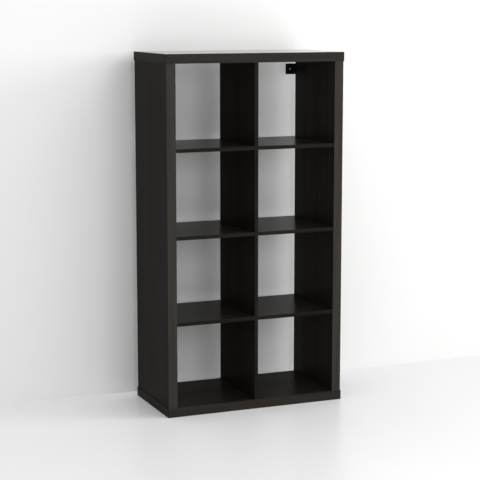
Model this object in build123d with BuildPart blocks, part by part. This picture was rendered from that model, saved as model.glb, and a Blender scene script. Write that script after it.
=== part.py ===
from build123d import *

import os
from math import floor, sqrt

# Open-backed cube storage unit with two columns and four rows of cubbies, in millimetres.
# The origin is the middle of the footprint on the floor, with +Z up and the front towards -Y.
# Each outer panel is hollow: two thin skins on a chipboard frame, with paper honeycomb between.
# The shelves run from side to side, and short dividers stand between them.
# Dowels locate the joints, and screws through the top and bottom panels pull the corners tight.
# Two steel angles at the back tie the unit to a wall.

os.makedirs("parts", exist_ok=True)

# Overall size
overall_width = 775.0  # over the top and bottom panels
overall_depth = 390.0
overall_height = 1460.0

# Outer panels
panel_thickness = 38.0
skin_thickness = 3.0
frame_width = 60.0  # chipboard strips of the frame
band_thickness = 1.0  # edge bands, also on the shelves and dividers
edge_round = 0.6  # eased outer edges of the bands
round_limit = 0.8  # most of a band's thickness that the easing takes
side_overhang = 3.0  # top and bottom panels past the sides, at each end
front_lip = 1.0  # top and bottom panels past the sides, at front and back
glue_gap = 0.2  # between pieces that are glued side by side in one panel
hole_end_gap = 0.5  # from a dowel's or screw's end to the bottom of its hole

# Paper honeycomb in the panels
core_cell = 45.0  # across flats
core_wall = 1.0

# Shelves and dividers
board_thickness = 15.0
board_front_setback = 3.0  # behind the front of the top panel
board_back_setback = 7.0
shelf_names = ["lower_shelf", "middle_shelf", "upper_shelf"]
divider_names = ["bottom_divider", "lower_divider", "upper_divider", "top_divider"]

# Wooden dowels
dowel_diameter = 8.0
dowel_grip = 15.0  # length held in each piece that it joins
dowel_chamfer = 0.8
dowel_clearance = 0.1  # radial
dowel_inset = 30.0  # shelf and divider dowels, in from the ends of the frame's rails

# Corner screws
screw_diameter = 7.0
screw_bite = 35.0  # length held in the side panel
screw_tip = 3.0
screw_head_diameter = 12.0
screw_head_height = 4.0
screw_head_sink = 0.5  # below the panel's outer face
screw_socket = 5.0  # across flats of the hex key
screw_socket_depth = 3.0
screw_clearance = 0.15  # radial
screw_inset = 40.0  # in from the ends of the frame's rails

# Wall brackets
bracket_sheet = 2.0
bracket_height = 46.0
bracket_drop = 22.0  # top edge below the top panel
bracket_wall_leg = 46.0
bracket_side_leg = 74.0
bracket_bend = 3.0  # inside radius
bracket_corner = 4.0
bracket_hole_diameter = 5.0  # for a wall screw

# Bracket screws
small_screw_diameter = 4.0
small_screw_length = 25.0
small_screw_tip = 3.0
small_screw_head_diameter = 8.0
small_screw_head_height = 2.4
small_screw_drive_width = 1.2
small_screw_drive_length = 4.4
small_screw_drive_depth = 1.4
small_screw_clearance = 0.15  # radial
small_screw_margin = 12.0  # from the free end and the bend of the bracket's side leg

# Places worked out from the sizes above
back_y = overall_depth / 2
side_outer_x = overall_width / 2 - side_overhang
side_inner_x = side_outer_x - panel_thickness
side_middle_x = side_outer_x - panel_thickness / 2
side_depth = overall_depth - 2 * front_lip
bottom_inner_z = panel_thickness
top_inner_z = overall_height - panel_thickness
middle_z = overall_height / 2
side_height = top_inner_z - bottom_inner_z
frame_thickness = panel_thickness - 2 * skin_thickness
band_round = min(edge_round, round_limit * band_thickness)

# The core of a panel or board is what the edge bands are glued to
top_core_width = overall_width - 2 * band_thickness
top_core_depth = overall_depth - 2 * band_thickness
side_core_depth = side_depth - 2 * band_thickness
board_front_y = -overall_depth / 2 + board_front_setback
board_back_y = overall_depth / 2 - board_back_setback
board_middle_y = (board_front_y + board_back_y) / 2
board_core_depth = board_back_y - board_front_y - 2 * band_thickness

shelf_count = len(shelf_names)
row_height = (side_height - shelf_count * board_thickness) / len(divider_names)
row_pitch = row_height + board_thickness
shelf_low_z = [bottom_inner_z + row_height + row_pitch * n for n in range(shelf_count)]
shelf_middle_z = [z + board_thickness / 2 for z in shelf_low_z]
divider_low_z = [bottom_inner_z + row_pitch * n for n in range(len(divider_names))]

rail_half = side_core_depth / 2 - frame_width
corner_screw_y = rail_half - screw_inset
corner_dowel_y = side_core_depth / 2 - frame_width / 2
board_dowel_y = rail_half - dowel_inset

dowel_hole_radius = dowel_diameter / 2 + dowel_clearance
dowel_hole_depth = dowel_grip + hole_end_gap
screw_hole_radius = screw_diameter / 2 + screw_clearance
screw_hole_depth = screw_bite + hole_end_gap
screw_seat_radius = screw_head_diameter / 2 + screw_clearance
screw_seat_depth = screw_head_sink + screw_head_height
small_screw_hole_radius = small_screw_diameter / 2 + small_screw_clearance
small_screw_hole_depth = small_screw_length - bracket_sheet + hole_end_gap

bracket_top_z = top_inner_z - bracket_drop
bracket_middle_z = bracket_top_z - bracket_height / 2
bracket_hole_x = -side_inner_x + (bracket_wall_leg + bracket_sheet + bracket_bend) / 2
bracket_bend_y = back_y - bracket_sheet - bracket_bend
small_screw_ys = [
    back_y - bracket_side_leg + small_screw_margin,
    bracket_bend_y - small_screw_margin,
]

# The bottom panel is the top panel reflected in this plane
mid_height = Plane.XY.offset(middle_z)

# Planes that holes start from; a hole runs against its plane's normal
top_face = Plane.XY.offset(overall_height)
top_inner_face = Plane(origin=(0, 0, top_inner_z), z_dir=(0, 0, -1))
side_ends = [
    Plane(origin=(-side_middle_x, 0, top_inner_z)),
    Plane(origin=(-side_middle_x, 0, bottom_inner_z), z_dir=(0, 0, -1)),
]
left_inner_face = Plane(origin=(-side_inner_x, 0, 0), x_dir=(0, 1, 0), z_dir=(1, 0, 0))


def save(piece, label):
    """Label a finished piece and write its file."""
    piece.part.label = label
    export_step(piece.part, f"parts/{label}.step")


def save_mirrored(piece, label, plane):
    """Write the same piece reflected in a plane, for the opposite panel or side."""
    with BuildPart() as twin:
        mirror(piece.part, about=plane)
    save(twin, label)


# Holes, cut from whichever layer of a panel is being built


def drill_top_panel():
    """Corner screws from above, corner dowels and divider dowels from below."""
    with Locations(top_face):
        with GridLocations(2 * side_middle_x, 2 * corner_screw_y, 2, 2):
            CounterBoreHole(screw_hole_radius, screw_seat_radius, screw_seat_depth)
    with Locations(top_inner_face):
        with GridLocations(2 * side_middle_x, 2 * corner_dowel_y, 2, 2):
            Hole(dowel_hole_radius, dowel_hole_depth)
        with GridLocations(0, 2 * board_dowel_y, 1, 2):
            Hole(dowel_hole_radius, dowel_hole_depth)


def drill_left_side():
    """Corner screws and dowels from both ends, shelf dowels and bracket screws from inside."""
    for end in side_ends:
        with Locations(end):
            with GridLocations(0, 2 * corner_screw_y, 1, 2):
                Hole(screw_hole_radius, screw_hole_depth)
            with GridLocations(0, 2 * corner_dowel_y, 1, 2):
                Hole(dowel_hole_radius, dowel_hole_depth)
    with Locations(left_inner_face):
        with Locations(*[(y, z) for z in shelf_middle_z for y in (-board_dowel_y, board_dowel_y)]):
            Hole(dowel_hole_radius, dowel_hole_depth)
        with Locations(*[(y, bracket_middle_z) for y in small_screw_ys]):
            Hole(small_screw_hole_radius, small_screw_hole_depth)


def honeycomb(length, width):
    """A block of paper honeycomb in the sketch being drawn, of as many whole cells as fit."""
    pitch = core_cell + core_wall
    ring = core_cell + 2 * core_wall  # one cell with its walls, across flats
    columns = 1 + floor((length - ring * 2 / sqrt(3)) / (pitch * sqrt(3) / 2))
    rows = 1 + floor((width - ring - pitch / 2) / pitch)
    with HexLocations(pitch / 2, columns, rows):
        RegularPolygon(ring / 2, 6, major_radius=False)
        RegularPolygon(core_cell / 2, 6, major_radius=False, mode=Mode.SUBTRACT)


def ease_outer_edges(strips, through, *along):
    """Round the outer edges of a facing pair of strips: through points out of them."""
    faces = strips.faces().filter_by(through).group_by(through)
    outer_faces = [end.sort_by(SortBy.AREA)[-1] for end in (faces[0], faces[-1])]
    edges = [edge for face in outer_faces for axis in along for edge in face.edges().filter_by(axis)]
    fillet(edges, band_round)


# Top and bottom panels

top_skins = {"outer": overall_height - skin_thickness, "inner": top_inner_z}
for face, skin_low_z in top_skins.items():
    with BuildPart() as top_skin:
        with BuildSketch(Plane.XY.offset(skin_low_z)):
            Rectangle(top_core_width, top_core_depth)
        extrude(amount=skin_thickness)
        drill_top_panel()
    save(top_skin, f"top_panel_{face}_skin")
    save_mirrored(top_skin, f"bottom_panel_{face}_skin", mid_height)

top_rail_pitch = (top_core_width - frame_width) / 2
top_window_width = top_rail_pitch - frame_width
top_window_depth = top_core_depth - 2 * frame_width

with BuildPart() as top_frame:
    with BuildSketch(Plane.XY.offset(top_inner_z + skin_thickness)):
        with GridLocations(0, top_core_depth - frame_width, 1, 2):
            Rectangle(top_core_width, frame_width)
        with GridLocations(top_rail_pitch, 0, 3, 1):
            Rectangle(frame_width, top_window_depth - 2 * glue_gap)
    extrude(amount=frame_thickness)
    drill_top_panel()
save(top_frame, "top_panel_frame")
save_mirrored(top_frame, "bottom_panel_frame", mid_height)

with BuildPart() as top_core:
    with BuildSketch(Plane.XY.offset(top_inner_z + skin_thickness)):
        with GridLocations(top_rail_pitch, 0, 2, 1):
            honeycomb(top_window_width - 2 * glue_gap, top_window_depth - 2 * glue_gap)
    extrude(amount=frame_thickness)
    drill_top_panel()
save(top_core, "top_panel_honeycomb")
save_mirrored(top_core, "bottom_panel_honeycomb", mid_height)

with BuildPart() as top_bands:
    with BuildSketch(Plane.XY.offset(top_inner_z)):
        with GridLocations(0, overall_depth - band_thickness, 1, 2):
            Rectangle(overall_width, band_thickness)
    extrude(amount=panel_thickness)
    ease_outer_edges(top_bands, Axis.Y, Axis.X, Axis.Z)
    with BuildSketch(Plane.XY.offset(top_inner_z)):
        with GridLocations(overall_width - band_thickness, 0, 2, 1):
            Rectangle(band_thickness, top_core_depth - 2 * glue_gap)
    extrude(amount=panel_thickness)
    ease_outer_edges(top_bands, Axis.X, Axis.Y)
save(top_bands, "top_panel_edge_bands")
save_mirrored(top_bands, "bottom_panel_edge_bands", mid_height)

# Left and right side panels

left_skins = {"outer": -side_outer_x, "inner": -side_inner_x - skin_thickness}
for face, skin_low_x in left_skins.items():
    with BuildPart() as left_skin:
        with BuildSketch(Plane.YZ.offset(skin_low_x)):
            with Locations((0, middle_z)):
                Rectangle(side_core_depth, side_height)
        extrude(amount=skin_thickness)
        drill_left_side()
    save(left_skin, f"left_side_{face}_skin")
    save_mirrored(left_skin, f"right_side_{face}_skin", Plane.YZ)

side_window_depth = side_core_depth - 2 * frame_width
side_rail_middle_z = [bottom_inner_z + frame_width / 2, *shelf_middle_z, top_inner_z - frame_width / 2]

with BuildPart() as left_frame:
    with BuildSketch(Plane.YZ.offset(-side_outer_x + skin_thickness)):
        with Locations((0, middle_z)):
            with GridLocations(side_core_depth - frame_width, 0, 2, 1):
                Rectangle(frame_width, side_height)
        with Locations(*[(0, z) for z in side_rail_middle_z]):
            Rectangle(side_window_depth - 2 * glue_gap, frame_width)
    extrude(amount=frame_thickness)
    drill_left_side()
save(left_frame, "left_side_frame")
save_mirrored(left_frame, "right_side_frame", Plane.YZ)

with BuildPart() as left_core:
    with BuildSketch(Plane.YZ.offset(-side_outer_x + skin_thickness)):
        for below, above in zip(side_rail_middle_z, side_rail_middle_z[1:]):
            with Locations((0, (below + above) / 2)):
                honeycomb(side_window_depth - 2 * glue_gap, above - below - frame_width - 2 * glue_gap)
    extrude(amount=frame_thickness)
    drill_left_side()
save(left_core, "left_side_honeycomb")
save_mirrored(left_core, "right_side_honeycomb", Plane.YZ)

with BuildPart() as left_bands:
    with BuildSketch(Plane.XY.offset(bottom_inner_z)):
        with Locations((-side_middle_x, 0)):
            with GridLocations(0, side_depth - band_thickness, 1, 2):
                Rectangle(panel_thickness, band_thickness)
    extrude(amount=side_height)
    ease_outer_edges(left_bands, Axis.Y, Axis.Z)
save(left_bands, "left_side_edge_bands")
save_mirrored(left_bands, "right_side_edge_bands", Plane.YZ)

# Shelves, from the lowest up

for shelf_name, low_z, shelf_z in zip(shelf_names, shelf_low_z, shelf_middle_z):
    with BuildPart() as shelf:
        with BuildSketch(Plane.XY.offset(low_z)):
            with Locations((0, board_middle_y)):
                Rectangle(2 * side_inner_x, board_core_depth)
        extrude(amount=board_thickness)
        with Locations(Plane.XY.offset(shelf_z)):
            with GridLocations(0, 2 * board_dowel_y, 1, 2):
                Hole(dowel_hole_radius)
        for end_x, outward in ((-side_inner_x, -1), (side_inner_x, 1)):
            with Locations(Plane(origin=(end_x, 0, shelf_z), x_dir=(0, 1, 0), z_dir=(outward, 0, 0))):
                with GridLocations(2 * board_dowel_y, 0, 2, 1):
                    Hole(dowel_hole_radius, dowel_hole_depth)
    save(shelf, shelf_name)

    with BuildPart() as shelf_bands:
        with BuildSketch(Plane.XY.offset(low_z)):
            with Locations((0, board_middle_y)):
                with GridLocations(0, board_core_depth + band_thickness, 1, 2):
                    Rectangle(2 * side_inner_x, band_thickness)
        extrude(amount=board_thickness)
        ease_outer_edges(shelf_bands, Axis.Y, Axis.X)
    save(shelf_bands, f"{shelf_name}_bands")

# Dividers, from the lowest up

for divider_name, low_z in zip(divider_names, divider_low_z):
    with BuildPart() as divider:
        with BuildSketch(Plane.XY.offset(low_z)):
            with Locations((0, board_middle_y)):
                Rectangle(board_thickness, board_core_depth)
        extrude(amount=row_height)
        for end_z, outward in ((low_z, -1), (low_z + row_height, 1)):
            with Locations(Plane(origin=(0, 0, end_z), z_dir=(0, 0, outward))):
                with GridLocations(0, 2 * board_dowel_y, 1, 2):
                    Hole(dowel_hole_radius, dowel_hole_depth)
    save(divider, divider_name)

    with BuildPart() as divider_bands:
        with BuildSketch(Plane.XY.offset(low_z)):
            with Locations((0, board_middle_y)):
                with GridLocations(0, board_core_depth + band_thickness, 1, 2):
                    Rectangle(board_thickness, band_thickness)
        extrude(amount=row_height)
        ease_outer_edges(divider_bands, Axis.Y, Axis.Z)
    save(divider_bands, f"{divider_name}_bands")

# Dowels


def dowel(length):
    """One dowel about the origin, along Z, with chamfered ends."""
    with BuildPart() as pin:
        Cylinder(dowel_diameter / 2, length)
        chamfer(pin.edges().filter_by(GeomType.CIRCLE), dowel_chamfer)
    return pin.part


short_dowel = dowel(2 * dowel_grip)
through_dowel = dowel(2 * dowel_grip + board_thickness)

with BuildPart() as corner_dowels:
    for joint_z in (bottom_inner_z, top_inner_z):
        with Locations(Plane.XY.offset(joint_z)):
            with GridLocations(2 * side_middle_x, 2 * corner_dowel_y, 2, 2):
                add(short_dowel)
save(corner_dowels, "corner_dowels")

with BuildPart() as shelf_dowels:
    for shelf_z in shelf_middle_z:
        for joint_x in (-side_inner_x, side_inner_x):
            with Locations(Plane(origin=(joint_x, 0, shelf_z), x_dir=(0, 1, 0), z_dir=(1, 0, 0))):
                with GridLocations(2 * board_dowel_y, 0, 2, 1):
                    add(short_dowel)
save(shelf_dowels, "shelf_dowels")

with BuildPart() as divider_dowels:
    for joint_z in (bottom_inner_z, top_inner_z):
        with Locations(Plane.XY.offset(joint_z)):
            with GridLocations(0, 2 * board_dowel_y, 1, 2):
                add(short_dowel)
    for shelf_z in shelf_middle_z:
        with Locations(Plane.XY.offset(shelf_z)):
            with GridLocations(0, 2 * board_dowel_y, 1, 2):
                add(through_dowel)
save(divider_dowels, "divider_dowels")

# Corner screws, each drawn with its head's upper face on the origin and its shank along -Z

screw_length = panel_thickness - screw_head_sink + screw_bite

with BuildPart() as corner_screw:
    with BuildSketch(Plane.XZ):
        with BuildLine():
            Polyline(
                (0, 0),
                (screw_head_diameter / 2, 0),
                (screw_head_diameter / 2, -screw_head_height),
                (screw_diameter / 2, -screw_head_height),
                (screw_diameter / 2, -screw_length + screw_tip),
                (0, -screw_length),
                close=True,
            )
        make_face()
    revolve(axis=Axis.Z)
    with BuildSketch(Plane.XY):
        RegularPolygon(screw_socket / 2, 6, major_radius=False)
    extrude(amount=-screw_socket_depth, mode=Mode.SUBTRACT)

with BuildPart() as corner_screws:
    with Locations(Plane.XY.offset(overall_height - screw_head_sink)):
        with GridLocations(2 * side_middle_x, 2 * corner_screw_y, 2, 2):
            add(corner_screw.part)
    with Locations(Plane(origin=(0, 0, screw_head_sink), z_dir=(0, 0, -1))):
        with GridLocations(2 * side_middle_x, 2 * corner_screw_y, 2, 2):
            add(corner_screw.part)
save(corner_screws, "corner_screws")

# Wall brackets, bent from sheet with one leg on the side panel and one along the wall

with BuildPart() as left_bracket:
    with BuildSketch(Plane(origin=(-side_inner_x, back_y, bracket_top_z - bracket_height))) as angle:
        with BuildLine():
            Polyline(
                (0, -bracket_side_leg),
                (0, 0),
                (bracket_wall_leg, 0),
                (bracket_wall_leg, -bracket_sheet),
                (bracket_sheet, -bracket_sheet),
                (bracket_sheet, -bracket_side_leg),
                close=True,
            )
        make_face()
        fillet(angle.vertices().sort_by_distance((0, 0))[0], bracket_bend + bracket_sheet)
        inner_corner = (bracket_sheet, -bracket_sheet)
        fillet(angle.vertices().sort_by_distance(inner_corner)[0], bracket_bend)
    extrude(amount=bracket_height)
    side_leg_end = left_bracket.faces().sort_by(Axis.Y)[0].edges().filter_by(Axis.X)
    wall_leg_end = left_bracket.faces().sort_by(Axis.X)[-1].edges().filter_by(Axis.Y)
    fillet(side_leg_end + wall_leg_end, bracket_corner)
    with Locations(Plane(origin=(bracket_hole_x, back_y, bracket_middle_z), z_dir=(0, 1, 0))):
        Hole(bracket_hole_diameter / 2)
    with Locations(left_inner_face):
        with Locations(*[(y, bracket_middle_z) for y in small_screw_ys]):
            Hole(small_screw_hole_radius)
save(left_bracket, "wall_bracket_left")
save_mirrored(left_bracket, "wall_bracket_right", Plane.YZ)

# Bracket screws, each drawn with its head seated on the origin and its shank along -Z

with BuildPart() as small_screw:
    with BuildSketch(Plane.XZ):
        with BuildLine():
            rim = (small_screw_head_diameter / 2, 0)
            crown = (0, small_screw_head_height)
            Polyline(
                rim,
                (small_screw_diameter / 2, 0),
                (small_screw_diameter / 2, -small_screw_length + small_screw_tip),
                (0, -small_screw_length),
                crown,
            )
            TangentArc(crown, rim, tangent=(1, 0))
        make_face()
    revolve(axis=Axis.Z)
    with BuildSketch(Plane.XY.offset(small_screw_head_height)):
        Rectangle(small_screw_drive_length, small_screw_drive_width)
        Rectangle(small_screw_drive_width, small_screw_drive_length)
    extrude(amount=-small_screw_drive_depth, mode=Mode.SUBTRACT)

with BuildPart() as bracket_screws:
    for side in (-1, 1):
        seat_x = side * (side_inner_x - bracket_sheet)
        with Locations(Plane(origin=(seat_x, 0, 0), x_dir=(0, 1, 0), z_dir=(-side, 0, 0))):
            with Locations(*[(y, -side * bracket_middle_z) for y in small_screw_ys]):
                add(small_screw.part)
save(bracket_screws, "bracket_screws")
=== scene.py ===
from math import pi, radians

import bpy
from bpy.props import FloatProperty, FloatVectorProperty, IntProperty, PointerProperty
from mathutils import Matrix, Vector


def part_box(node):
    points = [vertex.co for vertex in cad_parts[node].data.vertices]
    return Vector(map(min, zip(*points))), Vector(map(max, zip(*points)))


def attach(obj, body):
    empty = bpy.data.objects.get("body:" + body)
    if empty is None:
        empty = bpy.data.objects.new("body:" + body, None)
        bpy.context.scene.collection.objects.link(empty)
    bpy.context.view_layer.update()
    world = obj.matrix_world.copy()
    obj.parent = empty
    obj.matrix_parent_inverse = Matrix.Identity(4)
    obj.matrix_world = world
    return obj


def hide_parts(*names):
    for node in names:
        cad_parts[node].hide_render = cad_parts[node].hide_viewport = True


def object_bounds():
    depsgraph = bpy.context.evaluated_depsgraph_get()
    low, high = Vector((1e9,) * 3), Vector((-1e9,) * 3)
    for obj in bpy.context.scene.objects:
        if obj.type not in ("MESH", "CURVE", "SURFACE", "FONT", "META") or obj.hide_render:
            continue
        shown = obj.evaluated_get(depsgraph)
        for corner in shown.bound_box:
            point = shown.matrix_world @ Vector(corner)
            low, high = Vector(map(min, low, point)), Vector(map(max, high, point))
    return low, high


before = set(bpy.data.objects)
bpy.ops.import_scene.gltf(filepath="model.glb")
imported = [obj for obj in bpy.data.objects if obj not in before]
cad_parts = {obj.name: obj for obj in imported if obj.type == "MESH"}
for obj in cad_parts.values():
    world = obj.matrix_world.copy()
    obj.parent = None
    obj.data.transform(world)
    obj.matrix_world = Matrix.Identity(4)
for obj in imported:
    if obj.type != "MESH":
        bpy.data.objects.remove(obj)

bl_info = {
    "name": "Cube Storage Unit",
    "version": (1, 0, 0),
    "blender": (4, 5, 0),
    "location": "3D View > Sidebar > Cube Storage",
    "description": "Finishes an open cube storage unit with foil, edge bands, fasteners and a plain stage",
    "category": "Object",
}

CAD_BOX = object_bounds()

LEVEL_PANELS = ("top_panel", "bottom_panel")
UPRIGHT_PANELS = ("left_side", "right_side")
PANELS = LEVEL_PANELS + UPRIGHT_PANELS
SHELVES = ("lower_shelf", "middle_shelf", "upper_shelf")
DIVIDERS = ("bottom_divider", "lower_divider", "upper_divider", "top_divider")
BRACKETS = ("wall_bracket_left", "wall_bracket_right")

UP = Vector((0, 0, 1))
RIGHT = Vector((1, 0, 0))
FULL_TURN = 2 * pi
NEAR_ZERO = 0.01  # keeps a divisor off zero

# Patterns of the finishes
NOISE_LOW = 0.3  # nearly all of a noise lies between these two
NOISE_HIGH = 0.7
STREAK_STRETCH = 30  # how far a mark is drawn out along the grain
FIBRE_STRETCH = 60
BAND_FIBRE_STRETCH = 80
PORE_STRETCH = 16
PAPER_STRETCH = 4
FLECK_STRETCH = 12
PORE_START = 0.60  # noise at which a pore begins and at which it is deepest
PORE_FULL = 0.72
PORE_SHADE = 0.30  # how far a pore darkens the grain
PORE_DULLNESS = 0.10  # roughness that a pore adds
FIBRE_RELIEF = 0.25  # height of a fibre against the depth of a pore
MOTTLE_SIZE = 0.0015  # patches in the zinc of the screws
MOTTLE_RELIEF = 0.00004

# Steps and shapes of the turned fasteners
TURN_STEPS = 36
HEAD_START = 2  # rings 0 and 1 are the middle and the rim of the recess's floor
HEAD_RINGS = 10
THREAD_STEPS = 8  # rings in one turn of a thread
THREAD_RUN_OUT = 1 / 16  # share of its length in which a thread fades at either end
RECESS_TAPER = 0.94  # floor of a recess against its mouth
DOWEL_RINGS = 6  # a middle, a rim and a bevel at each end
FLUTE_STEPS = 6
FLUTE_POWER = 3  # narrows a flute
CREASE_ANGLE = radians(35)
WELD = 1e-6  # closes the seam and the poles of a turned shape
CORNER_SCREW_SEED = 3
BRACKET_SCREW_SEED = 5

# Stage
FLOOR_GAP = 0.0003  # from the unit down to the floor
TOUCH = 0.003  # the stage is clear to a face that is closer than this
STAGE_PATCH = 0.6  # size of the faint patches on the stage
WHITE = (1, 1, 1, 1)


# Settings that a user would change


def length(name, description, default):
    """A length in metres."""
    return FloatProperty(
        name=name, description=description, default=default, min=0, unit="LENGTH", precision=5
    )


def factor(name, description, default):
    """A share from 0 to 1."""
    return FloatProperty(
        name=name, description=description, default=default, min=0, max=1, subtype="FACTOR"
    )


def colour(name, description, default):
    """A linear colour."""
    return FloatVectorProperty(
        name=name, description=description, default=default, size=3, min=0, max=1, subtype="COLOR"
    )


def power(name, description, default):
    """A lamp's power in watts."""
    return FloatProperty(name=name, description=description, default=default, min=0, unit="POWER")


def angle(name, description, degrees):
    """An angle, written in degrees."""
    return FloatProperty(name=name, description=description, default=radians(degrees), subtype="ANGLE")


def squareness(default):
    """How square the crown of a screw's head is."""
    description = "Shape of the crown: 2 is a round dome, and more is flatter"
    return FloatProperty(name="Head Squareness", description=description, default=default, min=1)


def group(name, description, settings):
    """A group of settings inside another."""
    return PointerProperty(name=name, description=description, type=settings)


class FoilSettings(bpy.types.PropertyGroup):
    """Wood-grain foil on the panels and boards, and the edge bands: the outer panels' bands are paler than
    the foil as painted light, and the dividers' foil is darker as painted shade.
    """

    dark: colour("Dark Grain", "Colour of the dark grain", (0.0078, 0.0066, 0.0054))
    light: colour("Light Grain", "Colour of the light grain", (0.0215, 0.0186, 0.0158))
    streak_width: length("Streak Width", "Width of the broad streaks", 0.030)
    fibre_width: length("Fibre Width", "Width of the fine fibres", 0.0016)
    pore_width: length("Pore Width", "Width of the pressed pores", 0.0011)
    pore_depth: length("Pore Depth", "Depth of the pressed pores", 0.00001)
    roughness: factor("Roughness", "Roughness of the foil", 0.32)
    sheen: factor("Sheen", "Strength of the foil's reflections", 0.008)
    shelf_roughness: factor("Shelf Roughness", "Roughness of the foil on the shelves", 0.22)
    shelf_sheen: factor("Shelf Sheen", "Strength of the shelves' reflections", 0.014)
    # Painted shade: the dividers' foil is darker than the panels' for the shade deep in the cubbies
    divider_painted_shade: factor("Divider Painted Shade", "Tone of the dividers' foil, against the panels'", 0.80)
    divider_sheen: factor("Divider Sheen", "Strength of the dividers' reflections", 0.004)
    top_roughness: factor("Top Roughness", "Roughness of the foil on top of the unit", 0.05)
    top_sheen: factor("Top Sheen", "Strength of the reflections on top of the unit", 0.08)
    # Painted light: the outer panels' bands are paler than the foil where the lamps fall on their front
    # edges, the upright ones more than the level ones
    upright_band_dark_painted_light: colour("Dark Band", "Dark grain of the upright panels' bands", (0.0278, 0.0242, 0.0212))
    upright_band_pale_painted_light: colour("Light Band", "Light grain of the upright panels' bands", (0.0428, 0.0373, 0.0326))
    level_band_dark_painted_light: colour(
        "Dark Level Band", "Dark grain of the level panels' bands", (0.0198, 0.0173, 0.0152)
    )
    level_band_pale_painted_light: colour(
        "Light Level Band", "Light grain of the level panels' bands", (0.0305, 0.0266, 0.0233)
    )
    band_streak_width: length("Band Streak Width", "Width of the streaks on the bands", 0.015)
    band_relief: length("Band Relief", "Height of the fibres on the bands", 0.0000025)
    band_roughness: factor("Band Roughness", "Roughness of the edge bands", 0.30)
    band_sheen: factor("Band Sheen", "Strength of the bands' reflections", 0.010)


class CoreSettings(bpy.types.PropertyGroup):
    """Chipboard strips and paper honeycomb inside the panels."""

    chip: colour("Chip", "Colour of the pale chips", (0.52, 0.38, 0.24))
    chip_dark: colour("Dark Chip", "Colour of the dark chips", (0.27, 0.17, 0.09))
    chip_size: length("Chip Size", "Size of one chip", 0.004)
    chip_relief: length("Chip Relief", "Height of the chips' edges", 0.0004)
    dust_size: length("Dust Size", "Size of the dust between the chips", 0.001)
    paper: colour("Paper", "Colour of the honeycomb paper", (0.50, 0.36, 0.22))
    paper_fibre: length("Paper Fibre", "Width of the paper's fibres", 0.002)
    paper_relief: length("Paper Relief", "Height of the paper's fibres", 0.0002)


class CornerScrewSettings(bpy.types.PropertyGroup):
    """Zinc screws with a hex socket, through the top and bottom panels."""

    steel: colour("Steel", "Colour of the zinc", (0.62, 0.62, 0.60))
    roughness: factor("Roughness", "Roughness of the zinc", 0.34)
    head_diameter: length("Head Diameter", "Across the head", 0.012)
    head_height: length("Head Height", "From the crown to the underside of the head", 0.004)
    head_squareness: squareness(9.0)
    recess: length("Socket", "Across the flats of the hex socket", 0.005)
    recess_depth: length("Socket Depth", "Depth of the hex socket", 0.003)
    shank_diameter: length("Shank Diameter", "Over the thread", 0.007)
    screw_length: length("Length", "From the crown to the tip", 0.0725)
    tip: length("Tip", "Length of the point", 0.003)
    pitch: length("Thread Pitch", "From one turn of the thread to the next", 0.003)
    thread_depth: length("Thread Depth", "Height of the thread", 0.0009)


class BracketScrewSettings(bpy.types.PropertyGroup):
    """Black screws with a domed head and a cross recess, through the brackets."""

    steel: colour("Steel", "Colour of the black zinc", (0.020, 0.020, 0.021))
    roughness: factor("Roughness", "Roughness of the black zinc", 0.42)
    head_diameter: length("Head Diameter", "Across the head", 0.008)
    head_height: length("Head Height", "From the crown to the underside of the head", 0.0024)
    head_squareness: squareness(2.2)
    recess: length("Cross", "Across the arms of the cross recess", 0.0044)
    recess_arm: length("Cross Arm", "Width of one arm of the cross recess", 0.0012)
    recess_depth: length("Cross Depth", "Depth of the cross recess", 0.0014)
    shank_diameter: length("Shank Diameter", "Over the thread", 0.004)
    screw_length: length("Length", "From the crown to the tip", 0.0274)
    tip: length("Tip", "Length of the point", 0.003)
    pitch: length("Thread Pitch", "From one turn of the thread to the next", 0.0018)
    thread_depth: length("Thread Depth", "Height of the thread", 0.0006)


class DowelSettings(bpy.types.PropertyGroup):
    """Fluted beech dowels."""

    wood: colour("Wood", "Colour of the beech", (0.60, 0.42, 0.25))
    wood_dark: colour("Dark Wood", "Colour of the flecks in the beech", (0.40, 0.25, 0.13))
    fleck_width: length("Fleck Width", "Width of the flecks in the beech", 0.0008)
    fleck_relief: length("Fleck Relief", "Depth of the flecks in the beech", 0.0001)
    diameter: length("Diameter", "Over the flutes", 0.008)
    short_length: length("Short Length", "Dowels that join two pieces", 0.030)
    flutes: IntProperty(name="Flutes", description="Number of glue grooves round a dowel", default=20, min=3)
    flute_depth: length("Flute Depth", "Depth of the glue grooves", 0.0003)
    chamfer: length("Chamfer", "Bevel at the ends", 0.0008)


class BracketSettings(bpy.types.PropertyGroup):
    """Powder coat on the steel wall brackets."""

    coat: colour("Coat", "Colour of the powder coat", (0.0058, 0.0058, 0.0058))
    peel_size: length("Peel Size", "Size of the bumps in the coat", 0.0006)
    peel_relief: length("Peel Relief", "Height of the bumps in the coat", 0.000075)
    roughness: factor("Roughness", "Roughness of the coat", 0.5)
    sheen: factor("Sheen", "Strength of the coat's reflections", 0.06)


def lamp_settings(class_name, watts, width, height, distance, azimuth, elevation):
    """A property group for one soft lamp that is aimed at the middle of the unit."""
    properties = {
        "watts": power("Power", "Power of the lamp", watts),
        "width": length("Width", "Width of the lamp", width),
        "height": length("Height", "Height of the lamp", height),
        "distance": length("Distance", "From the middle of the unit to the lamp", distance),
        "azimuth": angle("Azimuth", "Turn to the right of the front", azimuth),
        "elevation": angle("Elevation", "Height above level", elevation),
    }
    return type(class_name, (bpy.types.PropertyGroup,), {"__annotations__": properties})


KeyLamp = lamp_settings("KeyLamp", watts=260, width=3, height=3, distance=8, azimuth=65, elevation=15)
FrontLamp = lamp_settings("FrontLamp", watts=54, width=2, height=2, distance=4.8, azimuth=2, elevation=11)
HighLamp = lamp_settings("HighLamp", watts=6, width=0.8, height=0.8, distance=2, azimuth=20, elevation=50)


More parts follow.
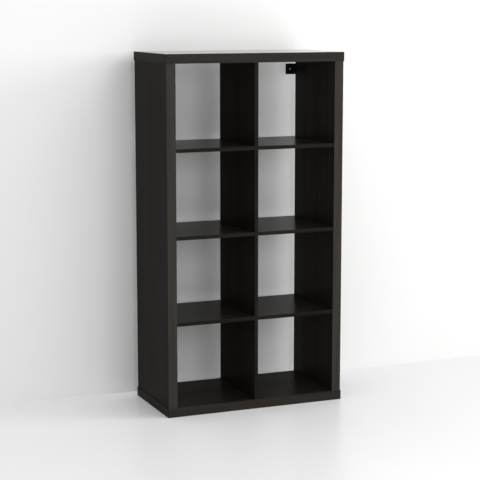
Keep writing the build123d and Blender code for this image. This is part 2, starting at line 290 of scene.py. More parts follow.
class StageSettings(bpy.types.PropertyGroup):
    """Floor, wall, lights and camera."""

    wall_gap: length("Wall Gap", "From the unit's back to the wall", 0.06)
    stage_width: length("Stage Width", "Width of the floor and the wall", 14.0)
    wall_height: length("Wall Height", "Height of the wall", 5.0)
    wall: colour("Wall", "Colour of the wall", (0.825, 0.825, 0.821))
    wall_roughness: factor("Wall Roughness", "Roughness of the wall", 0.9)
    wall_sheen: factor("Wall Sheen", "Strength of the wall's reflections", 0.2)
    floor: colour("Floor", "Colour of the floor", (0.90, 0.90, 0.90))
    floor_roughness: factor("Floor Roughness", "Roughness of the floor", 0.30)
    floor_sheen: factor("Floor Sheen", "Strength of the floor's reflections", 0.2)
    ambient: factor("Ambient", "Strength of the even light from all round", 0.77)
    key: group("Key Lamp", "The strongest lamp, on the right", KeyLamp)
    front: group("Front Lamp", "The lamp in front", FrontLamp)
    high: group("High Lamp", "The small lamp above the front", HighLamp)
    camera_place: FloatVectorProperty(
        name="Camera Place",
        description="Where the camera stands",
        default=(-2.3312, -5.6216, 1.6445),
        unit="LENGTH",
    )
    camera_turn: angle("Camera Turn", "Turn of the camera to the right of the unit's depth", 22.583)
    camera_tilt: angle("Camera Tilt", "Tilt of the camera below level", 9.034)
    camera_lens: FloatProperty(name="Lens", description="Focal length", default=110.36, unit="CAMERA")


class UnitSettings(bpy.types.PropertyGroup):
    """All settings of the cube storage unit."""

    foil: group("Foil", "Foil on the panels and boards, and the edge bands", FoilSettings)
    cores: group("Cores", "Chipboard and honeycomb inside the panels", CoreSettings)
    corner_screws: group("Corner Screws", "Screws in the top and bottom panels", CornerScrewSettings)
    bracket_screws: group("Bracket Screws", "Screws that hold the brackets", BracketScrewSettings)
    dowels: group("Dowels", "Dowels in all joints", DowelSettings)
    brackets: group("Brackets", "Wall brackets", BracketSettings)
    stage: group("Stage", "Floor, wall, lights and camera", StageSettings)


# Node trees


def wire(value, socket):
    """Link a field to a socket, or set the socket to a plain value."""
    if isinstance(value, Field):
        socket.id_data.links.new(value.socket, socket)
    else:
        socket.default_value = value


def add_node(tree, kind, inputs=None, **settings):
    """Add a node with its settings made and its inputs wired."""
    node = tree.nodes.new(kind)
    for name, value in settings.items():
        setattr(node, name, value)
    for name, value in (inputs or {}).items():
        wire(value, node.inputs[name])
    return node


class Field:
    """A value in a node tree that adds, multiplies and compares like a number."""

    def __init__(self, socket):
        self.socket = socket

    def math(self, operation, *others):
        node = add_node(self.socket.id_data, "ShaderNodeMath", operation=operation)
        for socket, value in zip(node.inputs, (self, *others)):
            wire(value, socket)
        return Field(node.outputs[0])

    def __add__(self, other):
        return self.math("ADD", other)

    def __sub__(self, other):
        return self.math("SUBTRACT", other)

    def __rsub__(self, other):
        return -self + other

    def __mul__(self, other):
        return self.math("MULTIPLY", other)

    def __rmul__(self, other):
        return self * other

    def __truediv__(self, other):
        return self.math("DIVIDE", other)

    def __pow__(self, other):
        return self.math("POWER", other)

    def __mod__(self, other):
        return self.math("FLOORED_MODULO", other)

    def __lt__(self, other):
        return self.math("LESS_THAN", other)

    def __gt__(self, other):
        return self.math("GREATER_THAN", other)

    def __abs__(self):
        return self.math("ABSOLUTE")

    def __neg__(self):
        return self * -1.0

    def at_least(self, other):
        return self.math("MAXIMUM", other)

    def at_most(self, other):
        return self.math("MINIMUM", other)

    def clamped(self):
        """This field, held between 0 and 1."""
        return self.at_least(0.0).at_most(1.0)

    def blend(self, low, high):
        """low where this field is 0, high where it is 1."""
        return (high - low) * self + low


def choose(condition, yes, no):
    """One field where the condition holds and the other elsewhere."""
    return condition.blend(no, yes)


# Finishes


def start_material(name, **constants):
    """A new material with one shader, whose constant inputs are set directly."""
    material = bpy.data.materials.new(name)
    material.use_nodes = True
    tree = material.node_tree
    tree.nodes.clear()
    shader = add_node(tree, "ShaderNodeBsdfPrincipled")
    for socket_name, value in constants.items():
        shader.inputs[socket_name.replace("_", " ")].default_value = value
    output = add_node(tree, "ShaderNodeOutputMaterial")
    tree.links.new(shader.outputs["BSDF"], output.inputs["Surface"])
    return material, tree, shader


def object_space(tree, axis="", stretch=1):
    """Object coordinates, drawn out along one axis."""
    place = Field(add_node(tree, "ShaderNodeTexCoord").outputs["Object"])
    scale = [1 / stretch if name == axis else 1 for name in "XYZ"]
    mapping = add_node(tree, "ShaderNodeMapping", {"Vector": place, "Scale": scale})
    return Field(mapping.outputs["Vector"])


def noise(tree, size, detail=2, axis="", stretch=1):
    """Soft noise from 0 to 1 with marks of about that size, drawn out along one axis."""
    inputs = {"Vector": object_space(tree, axis, stretch), "Scale": 1 / size, "Detail": detail}
    return Field(add_node(tree, "ShaderNodeTexNoise", inputs).outputs["Fac"])


def weigh(first, second, share):
    """Two patterns in one: the first by its share, the second by the rest."""
    return first * share + second * (1 - share)


def spread(tree, pattern, low, high, to_low=0, to_high=1):
    """The pattern from low to high, moved to another range and held inside it."""
    inputs = {"Value": pattern, "From Min": low, "From Max": high, "To Min": to_low, "To Max": to_high}
    return Field(add_node(tree, "ShaderNodeMapRange", inputs).outputs["Result"])


def shaded(tint, share):
    """A colour made darker by a share below 1, or paler by one above it."""
    return [channel * share for channel in tint]


def two_tone(tree, pattern, dark, light, low=NOISE_LOW, high=NOISE_HIGH):
    """The dark colour where the pattern is low, the light one where it is high."""
    node = add_node(tree, "ShaderNodeValToRGB", {"Fac": pattern})
    for element, place, tint in zip(node.color_ramp.elements, (low, high), (dark, light)):
        element.position = place
        element.color = (*tint, 1)
    return Field(node.outputs["Color"])


def mix_colours(tree, share, first, second):
    """The first colour where the share is 0, the second where it is 1."""
    node = add_node(tree, "ShaderNodeMix", data_type="RGBA")
    sockets = {socket.identifier: socket for socket in node.inputs}
    for label, value in (("Factor_Float", share), ("A_Color", first), ("B_Color", second)):
        wire(value, sockets[label])
    return Field(next(socket for socket in node.outputs if socket.identifier == "Result_Color"))


def vary_gloss(tree, pattern, roughness, span):
    """Roughness that follows a pattern, by up to a span to either side."""
    return spread(tree, pattern, NOISE_LOW, NOISE_HIGH, roughness - span, roughness + span)


def bump(tree, shader, height, depth):
    """Raise the surface by the height field times a depth in metres."""
    node = add_node(tree, "ShaderNodeBump", {"Height": height, "Distance": depth})
    tree.links.new(node.outputs["Normal"], shader.inputs["Normal"])


def make_foil(name, foil, axis, roughness, sheen, tone=1.0):
    """Satin black-brown foil with pressed grain along one axis, darkened by a tone below 1 as painted shade.
    """
    material, tree, shader = start_material(name, Specular_IOR_Level=sheen)
    streaks = noise(tree, foil.streak_width, axis=axis, stretch=STREAK_STRETCH)
    fibres = noise(tree, foil.fibre_width, detail=3, axis=axis, stretch=FIBRE_STRETCH)
    pores = noise(tree, foil.pore_width, detail=1, axis=axis, stretch=PORE_STRETCH)
    pressed = spread(tree, pores, PORE_START, PORE_FULL)
    grain = weigh(streaks, fibres, share=0.55) - pressed * PORE_SHADE
    # A tone below 1 is painted shade: the dividers' foil darkened for the shade deep in the cubbies
    tint = two_tone(tree, grain, shaded(foil.dark, tone), shaded(foil.light, tone), low=0.25)
    wire(tint, shader.inputs["Base Color"])
    gloss = vary_gloss(tree, fibres, roughness, span=0.04)
    wire(gloss + pressed * PORE_DULLNESS, shader.inputs["Roughness"])
    bump(tree, shader, fibres * FIBRE_RELIEF - pressed, foil.pore_depth)
    return material


def band_grain(tree, foil, axis, dark, light):
    """Printed grain along one axis: its colour and its fibres."""
    streaks = noise(tree, foil.band_streak_width, axis=axis, stretch=STREAK_STRETCH)
    fibres = noise(tree, foil.fibre_width, detail=3, axis=axis, stretch=BAND_FIBRE_STRETCH)
    return two_tone(tree, weigh(streaks, fibres, share=0.6), dark, light), fibres


def make_band(name, foil, axis, dark, light, end_x=None):
    """Plastic edge band printed to match the foil, without pores.

    The outer panels' bands are given paler colours than the foil: painted light for their lit front edges.
    A panel's end bands, past end_x, have the foil's own colours and their grain along Y.
    """
    material, tree, shader = start_material(name, Specular_IOR_Level=foil.band_sheen)
    tint, fibres = band_grain(tree, foil, axis, dark, light)
    if end_x is not None:
        end_tint, end_fibres = band_grain(tree, foil, "Y", foil.dark, foil.light)
        place = add_node(tree, "ShaderNodeSeparateXYZ", {"Vector": object_space(tree)})
        at_end = abs(Field(place.outputs["X"])) > end_x
        tint = mix_colours(tree, at_end, tint, end_tint)
        fibres = choose(at_end, end_fibres, fibres)
    wire(tint, shader.inputs["Base Color"])
    wire(vary_gloss(tree, fibres, foil.band_roughness, span=0.03), shader.inputs["Roughness"])
    bump(tree, shader, fibres, foil.band_relief)
    return material


def make_chipboard(cores):
    """Raw pressed chips."""
    material, tree, shader = start_material("raw_chipboard", Roughness=0.85)
    inputs = {"Vector": object_space(tree), "Scale": 1 / cores.chip_size}
    chips = add_node(tree, "ShaderNodeTexVoronoi", inputs)
    chance = add_node(tree, "ShaderNodeSeparateColor", {"Color": Field(chips.outputs["Color"])})
    tone = weigh(Field(chance.outputs["Red"]), noise(tree, cores.dust_size), share=0.8)
    tint = two_tone(tree, tone, cores.chip_dark, cores.chip, low=0.05, high=0.75)
    wire(tint, shader.inputs["Base Color"])
    bump(tree, shader, Field(chips.outputs["Distance"]), cores.chip_relief)
    return material


def make_paper(cores):
    """Brown honeycomb paper with short fibres."""
    material, tree, shader = start_material("honeycomb_paper", Roughness=0.9)
    fibres = noise(tree, cores.paper_fibre, detail=4, axis="X", stretch=PAPER_STRETCH)
    tint = two_tone(tree, fibres, shaded(cores.paper, share=0.7), cores.paper)
    wire(tint, shader.inputs["Base Color"])
    bump(tree, shader, fibres, cores.paper_relief)
    return material


def make_beech(name, dowels, axis):
    """Raw beech with short dark flecks along the dowel."""
    material, tree, shader = start_material(name, Roughness=0.7)
    flecks = noise(tree, dowels.fleck_width, axis=axis, stretch=FLECK_STRETCH)
    tint = two_tone(tree, flecks, dowels.wood_dark, dowels.wood, low=0.35, high=0.55)
    wire(tint, shader.inputs["Base Color"])
    bump(tree, shader, flecks, dowels.fleck_relief)
    return material


def make_zinc(name, screws):
    """Plated steel with a faint mottle."""
    material, tree, shader = start_material(name, Metallic=1.0)
    mottle = noise(tree, MOTTLE_SIZE, detail=3)
    tint = two_tone(tree, mottle, shaded(screws.steel, share=0.8), screws.steel)
    wire(tint, shader.inputs["Base Color"])
    wire(vary_gloss(tree, mottle, screws.roughness, span=0.06), shader.inputs["Roughness"])
    bump(tree, shader, mottle, MOTTLE_RELIEF)
    return material


def make_powder_coat(brackets):
    """Black powder coat with a fine orange peel."""
    material, tree, shader = start_material("black_powder_coat", Specular_IOR_Level=brackets.sheen)
    peel = noise(tree, brackets.peel_size)
    tint = two_tone(tree, peel, brackets.coat, shaded(brackets.coat, share=1.6))
    wire(tint, shader.inputs["Base Color"])
    wire(vary_gloss(tree, peel, brackets.roughness, span=0.08), shader.inputs["Roughness"])
    bump(tree, shader, peel, brackets.peel_relief)
    return material


def finish_nodes(material, names):
    """Give CAD nodes their finish."""
    for name in names:
        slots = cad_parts[name].data.materials
        slots.clear()
        slots.append(material)


# Shapes turned by geometry nodes


SOCKET_KINDS = {
    float: "NodeSocketFloat",
    int: "NodeSocketInt",
    bpy.types.Material: "NodeSocketMaterial",
}


def start_tree(name, sizes):
    """A geometry tree that takes places and has a named input for each size."""
    tree = bpy.data.node_groups.new(name, "GeometryNodeTree")
    tree.interface.new_socket("Places", in_out="INPUT", socket_type="NodeSocketGeometry")
    for label, size in sizes.items():
        kind = SOCKET_KINDS[type(size)]
        socket = tree.interface.new_socket(label, in_out="INPUT", socket_type=kind)
        socket.default_value = size
    tree.interface.new_socket("Fasteners", in_out="OUTPUT", socket_type="NodeSocketGeometry")
    source = add_node(tree, "NodeGroupInput")
    fields = {label: Field(source.outputs[label]) for label in ("Places", *sizes)}
    return tree, fields


def turning_grid(tree, steps, rings):
    """A sheet of points to wrap round an axis: the sheet, the share of a turn and the ring number."""
    inputs = {"Size X": 1.0, "Size Y": 1.0, "Vertices X": steps + 1, "Vertices Y": rings}
    sheet = add_node(tree, "GeometryNodeMeshGrid", inputs)
    place = add_node(tree, "GeometryNodeInputPosition")
    parts = add_node(tree, "ShaderNodeSeparateXYZ", {"Vector": Field(place.outputs["Position"])})
    turn = Field(parts.outputs["X"]) + 0.5
    ring = ((Field(parts.outputs["Y"]) + 0.5) * (rings - 1)).math("ROUND")
    return Field(sheet.outputs["Mesh"]), turn, ring


def up_to(ring, last):
    """1 on the rings up to the last one named, 0 on the others."""
    return ring < last + 0.5


def wrap(tree, sheet, turn, radius, height):
    """Wrap the sheet round the Z axis, close it, and keep its creases sharp."""
    swing = turn * -FULL_TURN
    x = swing.math("COSINE") * radius
    y = swing.math("SINE") * radius
    place = add_node(tree, "ShaderNodeCombineXYZ", {"X": x, "Y": y, "Z": height})
    inputs = {"Geometry": sheet, "Position": Field(place.outputs["Vector"])}
    bent = add_node(tree, "GeometryNodeSetPosition", inputs)
    inputs = {"Geometry": Field(bent.outputs["Geometry"]), "Distance": WELD}
    closed = add_node(tree, "GeometryNodeMergeByDistance", inputs)
    smooth = add_node(tree, "GeometryNodeSetShadeSmooth", {"Geometry": Field(closed.outputs["Geometry"])})
    fold = add_node(tree, "GeometryNodeInputMeshEdgeAngle")
    crease = Field(fold.outputs["Unsigned Angle"]) > CREASE_ANGLE
    inputs = {"Geometry": Field(smooth.outputs["Geometry"]), "Selection": crease, "Shade Smooth": False}
    sharp = add_node(tree, "GeometryNodeSetShadeSmooth", inputs, domain="EDGE")
    return Field(sharp.outputs["Geometry"])


def stand_on_places(tree, fields, shape):
    """Stand the shape on every place, along its facing and turned by chance, as one plain mesh."""
    facing = add_node(tree, "GeometryNodeInputNamedAttribute", {"Name": "facing"}, data_type="FLOAT_VECTOR")
    inputs = {"Vector": Field(facing.outputs["Attribute"])}
    aligned = add_node(tree, "FunctionNodeAlignRotationToVector", inputs, axis="Z")
    chance = add_node(tree, "FunctionNodeRandomValue", {"Seed": fields["Seed"]}, data_type="FLOAT")
    wire(FULL_TURN, next(s for s in chance.inputs if s.name == "Max" and s.type == "VALUE"))
    spin_angle = Field(next(s for s in chance.outputs if s.type == "VALUE"))
    spin = add_node(tree, "FunctionNodeAxisAngleToRotation", {"Axis": UP, "Angle": spin_angle})
    inputs = {"Rotation": Field(aligned.outputs["Rotation"]), "Rotate By": Field(spin.outputs["Rotation"])}
    turned = add_node(tree, "FunctionNodeRotateRotation", inputs, rotation_space="LOCAL")
    inputs = {"Points": fields["Places"], "Instance": shape, "Rotation": Field(turned.outputs["Rotation"])}
    stood = add_node(tree, "GeometryNodeInstanceOnPoints", inputs)
    real = add_node(tree, "GeometryNodeRealizeInstances", {"Geometry": Field(stood.outputs["Instances"])})
    inputs = {"Geometry": Field(real.outputs["Geometry"]), "Material": fields["Material"]}
    finished = add_node(tree, "GeometryNodeSetMaterial", inputs)
    add_node(tree, "NodeGroupOutput", {"Fasteners": Field(finished.outputs["Geometry"])})


def hex_recess(fields, turn):
    """Radius of a hex socket, from its size across flats."""
    sides = 6
    off_flat = (turn * sides) % 1.0 - 0.5
    return fields["Recess"] / 2 / (off_flat * (FULL_TURN / sides)).math("COSINE")


def cross_recess(fields, turn):
    """Radius of a cross recess, from the length and width of its arms."""
    swing = turn * FULL_TURN
    across, upward = abs(swing.math("COSINE")), abs(swing.math("SINE"))
    along = across.at_least(upward)
    aside = across.at_most(upward).at_least(NEAR_ZERO)
    half_arm = fields["Recess Arm"] / 2
    return (fields["Recess"] / 2 / along).at_most(half_arm / aside).at_least(half_arm)


def make_screw_tree(name, sizes, recess_shape):
    """A screw turned in one sheet, with its crown at the origin.

    Its rings run from the middle of the recess over the head and down the thread to the point.
    """
    tree, fields = start_tree(name, sizes)
    head_radius = fields["Head Diameter"] / 2
    head_height = fields["Head Height"]
    square = fields["Head Squareness"]
    depth = fields["Thread Depth"]
    core_radius = fields["Shank Diameter"] / 2 - depth
    thread_length = fields["Length"] - head_height - fields["Tip"]
    thread_rings = (thread_length / fields["Thread Pitch"] * THREAD_STEPS).math("CEIL")
    thread_start = HEAD_START + HEAD_RINGS
    tip_ring = thread_rings + thread_start
    sheet, turn, ring = turning_grid(tree, TURN_STEPS, tip_ring + 1)

    # The head's rings crowd towards its rim, where the crown turns down
    recess = recess_shape(fields, turn)
    share = ((ring - HEAD_START) / (HEAD_RINGS - 1)).clamped()
    outward = 1 - (1 - share) ** 2
    dome_radius = outward.blend(recess, head_radius)
    dome_fall = (1 - (dome_radius / head_radius) ** square).at_least(0.0) ** (square ** -1.0)
    dome_height = (dome_fall - 1) * head_height

    down = ((ring - thread_start) / (thread_rings - 1)).clamped()
    thread_height = -(down * thread_length) - head_height
    phase = (thread_height / fields["Thread Pitch"] + turn) % 1.0
    crest = 1 - abs(phase * 2 - 1)
    fade = (down.at_most(1 - down) / THREAD_RUN_OUT).at_most(1.0)
    thread_radius = core_radius + crest * fade * depth

    in_middle = up_to(ring, 0)
    in_recess = up_to(ring, HEAD_START - 1)
    in_head = up_to(ring, thread_start - 1)
    in_thread = up_to(ring, tip_ring - 1)
    radius = choose(in_thread, thread_radius, 0.0)
    radius = choose(in_head, dome_radius, radius)
    radius = choose(in_recess, recess * RECESS_TAPER, radius)
    radius = choose(in_middle, 0.0, radius)
    height = choose(in_thread, thread_height, -fields["Length"])
    height = choose(in_head, dome_height, height)
    height = choose(in_recess, -fields["Recess Depth"], height)
    stand_on_places(tree, fields, wrap(tree, sheet, turn, radius, height))
    return tree


def make_dowel_tree(sizes):
    """A fluted dowel about the origin, along Z, with bevelled ends."""
    tree, fields = start_tree("fluted_dowel", sizes)
    sheet, turn, ring = turning_grid(tree, fields["Flutes"] * FLUTE_STEPS, DOWEL_RINGS)
    wave = (turn * fields["Flutes"] * FULL_TURN).math("COSINE")
    groove = (wave * 0.5 + 0.5) ** FLUTE_POWER
    body = fields["Diameter"] / 2 - groove * fields["Flute Depth"]
    end_radius = fields["Diameter"] / 2 - fields["Chamfer"]
    last_ring = DOWEL_RINGS - 1
    from_end = ring.at_most(last_ring - ring)
    at_rim = up_to(from_end, 1)
    radius = choose(up_to(from_end, 0), 0.0, choose(at_rim, end_radius, body))
    inset = choose(at_rim, 0.0, fields["Chamfer"])
    upper = choose(ring < last_ring / 2, 1.0, -1.0)
    height = upper * (fields["Length"] / 2 - inset)
    stand_on_places(tree, fields, wrap(tree, sheet, turn, radius, height))
    return tree


def turn_fasteners(name, tree, sizes, places, replaced):
    """Stand the tree's shape on places of (point, facing) as one plain mesh.

    The mesh stands for the replaced CAD node.
    """
    mesh = bpy.data.meshes.new(name + "_places")
    mesh.from_pydata([point for point, _ in places], [], [])
    facings = mesh.attributes.new("facing", "FLOAT_VECTOR", "POINT")
    for row, (_, facing) in zip(facings.data, places):
        row.vector = facing
    piece = bpy.data.objects.new(name, mesh)
    bpy.context.scene.collection.objects.link(piece)
    modifier = piece.modifiers.new("shape", "NODES")
    modifier.node_group = tree
    for item in tree.interface.items_tree:
        if item.in_out == "INPUT" and item.name in sizes:
            modifier[item.identifier] = sizes[item.name]
    depsgraph = bpy.context.evaluated_depsgraph_get()
    piece.data = bpy.data.meshes.new_from_object(piece.evaluated_get(depsgraph))
    piece.modifiers.remove(modifier)
    bpy.data.meshes.remove(mesh)
    if not piece.data.polygons:
        raise RuntimeError(f"{name} came out empty")
    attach(piece, "root")
    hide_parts(replaced)


def screw_sizes(screws, zinc, seed):
    """The sizes that both kinds of screw have, with their finish and seed."""
    return {
        "Head Diameter": screws.head_diameter,
        "Head Height": screws.head_height,
        "Head Squareness": screws.head_squareness,
        "Recess": screws.recess,
        "Recess Depth": screws.recess_depth,
        "Shank Diameter": screws.shank_diameter,
        "Length": screws.screw_length,
        "Tip": screws.tip,
        "Thread Pitch": screws.pitch,
        "Thread Depth": screws.thread_depth,
        "Seed": seed,
        "Material": zinc,
    }


def four_corners(x, y):
    """The corners of a rectangle about the Z axis."""
    return [(side_x * x, side_y * y) for side_x in (-1, 1) for side_y in (-1, 1)]


# Operators


class UNIT_OT_panels(bpy.types.Operator):
    """Finish the skins of the outer panels with foil"""

    bl_idname = "unit.panels"
    bl_label = "Outer Panels"

    def execute(self, context):
        foil = context.scene.cube_storage.foil
        upright = make_foil("upright_panel_foil", foil, "Z", foil.roughness, foil.sheen)
        level = make_foil("level_panel_foil", foil, "X", foil.roughness, foil.sheen)
        top = make_foil("top_foil", foil, "X", foil.top_roughness, foil.top_sheen)
        for face in ("outer", "inner"):
            finish_nodes(upright, [f"{panel}_{face}_skin" for panel in UPRIGHT_PANELS])
            finish_nodes(level, [f"{panel}_{face}_skin" for panel in LEVEL_PANELS])
        finish_nodes(top, ["top_panel_outer_skin"])
        return {"FINISHED"}


class UNIT_OT_boards(bpy.types.Operator):
    """Finish the shelves and dividers with foil"""

    bl_idname = "unit.boards"
    bl_label = "Shelves and Dividers"

    def execute(self, context):
        foil = context.scene.cube_storage.foil
        shelf_foil = make_foil("shelf_foil", foil, "X", foil.shelf_roughness, foil.shelf_sheen)
        finish_nodes(shelf_foil, SHELVES)
        # The dividers' foil is darkened by painted shade, for the shade deep in the cubbies
        divider_foil_painted_shade = make_foil(
            "divider_foil_painted_shade", foil, "Z", foil.roughness, foil.divider_sheen, foil.divider_painted_shade
        )
        finish_nodes(divider_foil_painted_shade, DIVIDERS)
        return {"FINISHED"}


class UNIT_OT_edge_bands(bpy.types.Operator):
    """Finish the edge bands of the panels, shelves and dividers"""

    bl_idname = "unit.edge_bands"
    bl_label = "Edge Bands"

    def execute(self, context):
        foil = context.scene.cube_storage.foil
        end_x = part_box("top_panel_outer_skin")[1].x
        # The outer panels' bands get paler colours than the foil: painted light on their lit front edges,
        # more on the upright panels than on the level ones
        level = make_band("level_panel_band_painted_light", foil, "X", foil.level_band_dark_painted_light, foil.level_band_pale_painted_light, end_x)
        upright = make_band("upright_panel_band_painted_light", foil, "Z", foil.upright_band_dark_painted_light, foil.upright_band_pale_painted_light)
        for band, panels in ((level, LEVEL_PANELS), (upright, UPRIGHT_PANELS)):
            finish_nodes(band, [f"{panel}_edge_bands" for panel in panels])
        for name, axis, boards in (("shelf", "X", SHELVES), ("divider", "Z", DIVIDERS)):
            band = make_band(f"{name}_band", foil, axis, foil.dark, foil.light)
            finish_nodes(band, [f"{board}_bands" for board in boards])
        return {"FINISHED"}


class UNIT_OT_cores(bpy.types.Operator):
    """Finish the chipboard strips and the honeycomb inside the panels"""

    bl_idname = "unit.cores"
    bl_label = "Panel Cores"

    def execute(self, context):
        cores = context.scene.cube_storage.cores
        finish_nodes(make_chipboard(cores), [f"{panel}_frame" for panel in PANELS])
        finish_nodes(make_paper(cores), [f"{panel}_honeycomb" for panel in PANELS])
        return {"FINISHED"}


class UNIT_OT_brackets(bpy.types.Operator):
    """Finish the wall brackets with powder coat"""

    bl_idname = "unit.brackets"
    bl_label = "Wall Brackets"

    def execute(self, context):
        finish_nodes(make_powder_coat(context.scene.cube_storage.brackets), BRACKETS)
        return {"FINISHED"}


class UNIT_OT_corner_screws(bpy.types.Operator):
    """Turn the hex socket screws in the top and bottom panels"""

    bl_idname = "unit.corner_screws"
    bl_label = "Corner Screws"

    def execute(self, context):
        screws = context.scene.cube_storage.corner_screws
        low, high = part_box("corner_screws")
        head_radius = screws.head_diameter / 2
        corners = four_corners(high.x - head_radius, high.y - head_radius)
        places = [((x, y, high.z), UP) for x, y in corners] + [((x, y, low.z), -UP) for x, y in corners]
        sizes = screw_sizes(screws, make_zinc("bright_zinc", screws), CORNER_SCREW_SEED)
        tree = make_screw_tree("hex_socket_screw", sizes, hex_recess)
        turn_fasteners("hex_socket_corner_screws", tree, sizes, places, "corner_screws")
        return {"FINISHED"}


class UNIT_OT_bracket_screws(bpy.types.Operator):
    """Turn the cross recess screws that hold the wall brackets"""

    bl_idname = "unit.bracket_screws"
    bl_label = "Bracket Screws"

    def execute(self, context):
        screws = context.scene.cube_storage.bracket_screws
        low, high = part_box("bracket_screws")
        head_radius = screws.head_diameter / 2
        crown_x = high.x - screws.screw_length
        middle_z = (low.z + high.z) / 2
        rows = (low.y + head_radius, high.y - head_radius)
        places = [((side * crown_x, y, middle_z), RIGHT * -side) for side in (-1, 1) for y in rows]
        sizes = screw_sizes(screws, make_zinc("black_zinc", screws), BRACKET_SCREW_SEED)
        sizes["Recess Arm"] = screws.recess_arm
        tree = make_screw_tree("cross_recess_screw", sizes, cross_recess)
        name = "cross_recess_bracket_screws"
        turn_fasteners(name, tree, sizes, places, "bracket_screws")
        return {"FINISHED"}


class UNIT_OT_dowels(bpy.types.Operator):
    """Turn the fluted dowels at the corners, shelf ends and dividers"""

    bl_idname = "unit.dowels"
    bl_label = "Dowels"

    def execute(self, context):
        dowels = context.scene.cube_storage.dowels
        radius = dowels.diameter / 2
        short_length = dowels.short_length
        half = short_length / 2
        shelf_boxes = [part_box(shelf) for shelf in SHELVES]
        shelf_middles = [(low.z + high.z) / 2 for low, high in shelf_boxes]
        board_thickness = shelf_boxes[0][1].z - shelf_boxes[0][0].z
        through_length = short_length + board_thickness

        low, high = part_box("corner_dowels")
        joints = (low.z + half, high.z - half)
        corners = four_corners(high.x - radius, high.y - radius)
        corner_places = [((x, y, z), UP) for x, y in corners for z in joints]

        low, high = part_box("shelf_dowels")
        ends = four_corners(high.x - half, high.y - radius)
        shelf_places = [((x, y, z), RIGHT) for x, y in ends for z in shelf_middles]

        low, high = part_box("divider_dowels")
        rows = (low.y + radius, high.y - radius)
        end_places = [((0, y, z), UP) for y in rows for z in joints]
        through_places = [((0, y, z), UP) for y in rows for z in shelf_middles]

        upright = make_beech("upright_beech", dowels, "Z")
        level = make_beech("level_beech", dowels, "X")
        groups = (
            ("fluted_corner_dowels", "corner_dowels", corner_places, short_length, upright),
            ("fluted_shelf_dowels", "shelf_dowels", shelf_places, short_length, level),
            ("fluted_divider_end_dowels", "divider_dowels", end_places, short_length, upright),
            ("fluted_divider_through_dowels", "divider_dowels", through_places, through_length, upright),
        )
        sizes = {
            "Diameter": dowels.diameter,
            "Length": short_length,
            "Flutes": dowels.flutes,
            "Flute Depth": dowels.flute_depth,
            "Chamfer": dowels.chamfer,
            "Seed": 0,
            "Material": upright,
        }
        tree = make_dowel_tree(sizes)
        for seed, (name, node, places, dowel_length, beech) in enumerate(groups):
            sizes.update({"Length": dowel_length, "Seed": seed, "Material": beech})
            turn_fasteners(name, tree, sizes, places, node)
        return {"FINISHED"}


def one_sided(name, tint, roughness, sheen):
    """A plain stage finish that never hides the unit or darkens a face that rests on it.

    It is clear from behind and from closer than TOUCH.
    """
    material, tree, shader = start_material(name, Roughness=roughness, Specular_IOR_Level=sheen)
    patches = noise(tree, STAGE_PATCH)
    wire(two_tone(tree, patches, shaded(tint, share=0.985), tint), shader.inputs["Base Color"])
    side = add_node(tree, "ShaderNodeNewGeometry")
    path = add_node(tree, "ShaderNodeLightPath")
    touching = Field(path.outputs["Ray Length"]) < TOUCH
    unseen = Field(side.outputs["Backfacing"]).at_least(touching)
    clear = add_node(tree, "ShaderNodeBsdfTransparent")
    mix = add_node(tree, "ShaderNodeMixShader", {"Fac": unseen})
    tree.links.new(shader.outputs["BSDF"], mix.inputs[1])
    tree.links.new(clear.outputs["BSDF"], mix.inputs[2])
    tree.links.new(mix.outputs["Shader"], tree.nodes["Material Output"].inputs["Surface"])
    return material


def stage_sheet(name, corners, material):
    """A flat sheet of the stage, seen from the side its corners run anticlockwise."""
    mesh = bpy.data.meshes.new(name)
    mesh.from_pydata(corners, [], [range(len(corners))])
    mesh.materials.append(material)
    sheet = bpy.data.objects.new(name, mesh)
    bpy.context.scene.collection.objects.link(sheet)
    return sheet


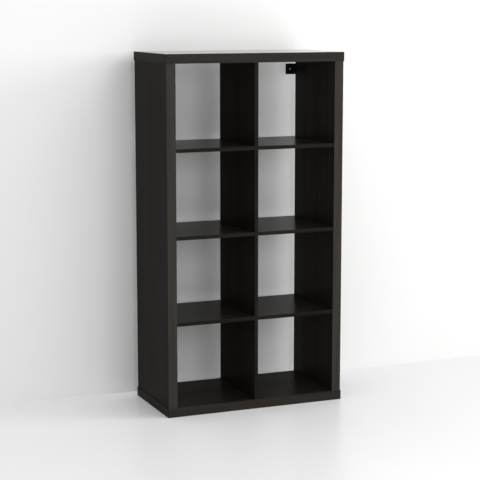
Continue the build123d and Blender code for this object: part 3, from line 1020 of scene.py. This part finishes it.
class UNIT_OT_stage(bpy.types.Operator):
    """Set the floor, the wall behind the unit, the lights and the camera"""

    bl_idname = "unit.stage"
    bl_label = "Stage"

    def execute(self, context):
        stage = context.scene.cube_storage.stage
        self.make_room(stage)
        self.make_light(context.scene, stage)
        self.make_camera(context.scene, stage)
        return {"FINISHED"}

    def make_room(self, stage):
        """The floor under the unit and the wall behind it."""
        half = stage.stage_width / 2
        low = CAD_BOX[0].z - FLOOR_GAP
        top = stage.wall_height
        wall_y = CAD_BOX[1].y + stage.wall_gap
        floor = one_sided("pale_floor", stage.floor, stage.floor_roughness, stage.floor_sheen)
        wall = one_sided("pale_wall", stage.wall, stage.wall_roughness, stage.wall_sheen)
        corners = [(-half, -half, low), (half, -half, low), (half, half, low), (-half, half, low)]
        stage_sheet("floor", corners, floor)
        corners = [(-half, wall_y, low), (half, wall_y, low), (half, wall_y, top), (-half, wall_y, top)]
        backdrop = stage_sheet("wall", corners, wall)
        # The even light passes the wall, so that the unit's back is lit too
        backdrop.visible_diffuse = False
        backdrop.visible_shadow = False

    def make_light(self, scene, stage):
        """The lamps, and even light from all round that looks white."""
        for name in ("key", "front", "high"):
            self.make_lamp(scene, name, getattr(stage, name))
        world = bpy.data.worlds.new("soft_surround")
        scene.world = world
        world.use_nodes = True
        tree = world.node_tree
        tree.nodes.clear()
        path = add_node(tree, "ShaderNodeLightPath")
        seen = Field(path.outputs["Is Camera Ray"]).at_least(Field(path.outputs["Is Glossy Ray"]))
        seen = seen.at_least(Field(path.outputs["Is Transmission Ray"]))
        inputs = {"Color": WHITE, "Strength": seen.at_least(stage.ambient)}
        surround = add_node(tree, "ShaderNodeBackground", inputs)
        output = add_node(tree, "ShaderNodeOutputWorld")
        tree.links.new(surround.outputs["Background"], output.inputs["Surface"])

    def make_lamp(self, scene, name, settings):
        """A soft lamp turned to the middle of the unit, out of the camera's sight."""
        lamp = bpy.data.lights.new(name, "AREA")
        lamp.shape = "RECTANGLE"
        lamp.size = settings.width
        lamp.size_y = settings.height
        lamp.energy = settings.watts
        holder = bpy.data.objects.new(name, lamp)
        holder.visible_camera = False
        holder.visible_glossy = False
        scene.collection.objects.link(holder)
        middle = (CAD_BOX[0] + CAD_BOX[1]) / 2
        holder.rotation_euler = (pi / 2 - settings.elevation, 0, settings.azimuth)
        holder.location = middle + holder.rotation_euler.to_matrix() @ (UP * settings.distance)

    def make_camera(self, scene, stage):
        """A camera at the height of a standing viewer, to the left of the front."""
        camera = bpy.data.objects.new("camera", bpy.data.cameras.new("camera"))
        scene.collection.objects.link(camera)
        camera.location = stage.camera_place
        camera.rotation_euler = (pi / 2 - stage.camera_tilt, 0, -stage.camera_turn)
        camera.data.lens = stage.camera_lens
        scene.camera = camera
        scene.view_settings.view_transform = "Standard"


OPERATORS = (
    UNIT_OT_panels,
    UNIT_OT_boards,
    UNIT_OT_edge_bands,
    UNIT_OT_cores,
    UNIT_OT_brackets,
    UNIT_OT_corner_screws,
    UNIT_OT_bracket_screws,
    UNIT_OT_dowels,
    UNIT_OT_stage,
)


class UNIT_PT_sidebar(bpy.types.Panel):
    """Lists the steps that finish the unit"""

    bl_idname = "UNIT_PT_sidebar"
    bl_label = "Cube Storage Unit"
    bl_space_type = "VIEW_3D"
    bl_region_type = "UI"
    bl_category = "Cube Storage"

    def draw(self, context):
        for operator in OPERATORS:
            self.layout.operator(operator.bl_idname)


SETTINGS = (
    FoilSettings,
    CoreSettings,
    CornerScrewSettings,
    BracketScrewSettings,
    DowelSettings,
    BracketSettings,
    KeyLamp,
    FrontLamp,
    HighLamp,
    StageSettings,
    UnitSettings,
)
CLASSES = (*SETTINGS, *OPERATORS, UNIT_PT_sidebar)


def register():
    for item in CLASSES:
        bpy.utils.register_class(item)
    bpy.types.Scene.cube_storage = PointerProperty(type=UnitSettings)


def unregister():
    del bpy.types.Scene.cube_storage
    for item in reversed(CLASSES):
        bpy.utils.unregister_class(item)


def main():
    """Finish the unit step by step."""
    register()
    bpy.ops.unit.panels()
    bpy.ops.unit.boards()
    bpy.ops.unit.edge_bands()
    bpy.ops.unit.cores()
    bpy.ops.unit.brackets()
    bpy.ops.unit.corner_screws()
    bpy.ops.unit.bracket_screws()
    bpy.ops.unit.dowels()
    bpy.ops.unit.stage()


if __name__ == "__main__":
    main()
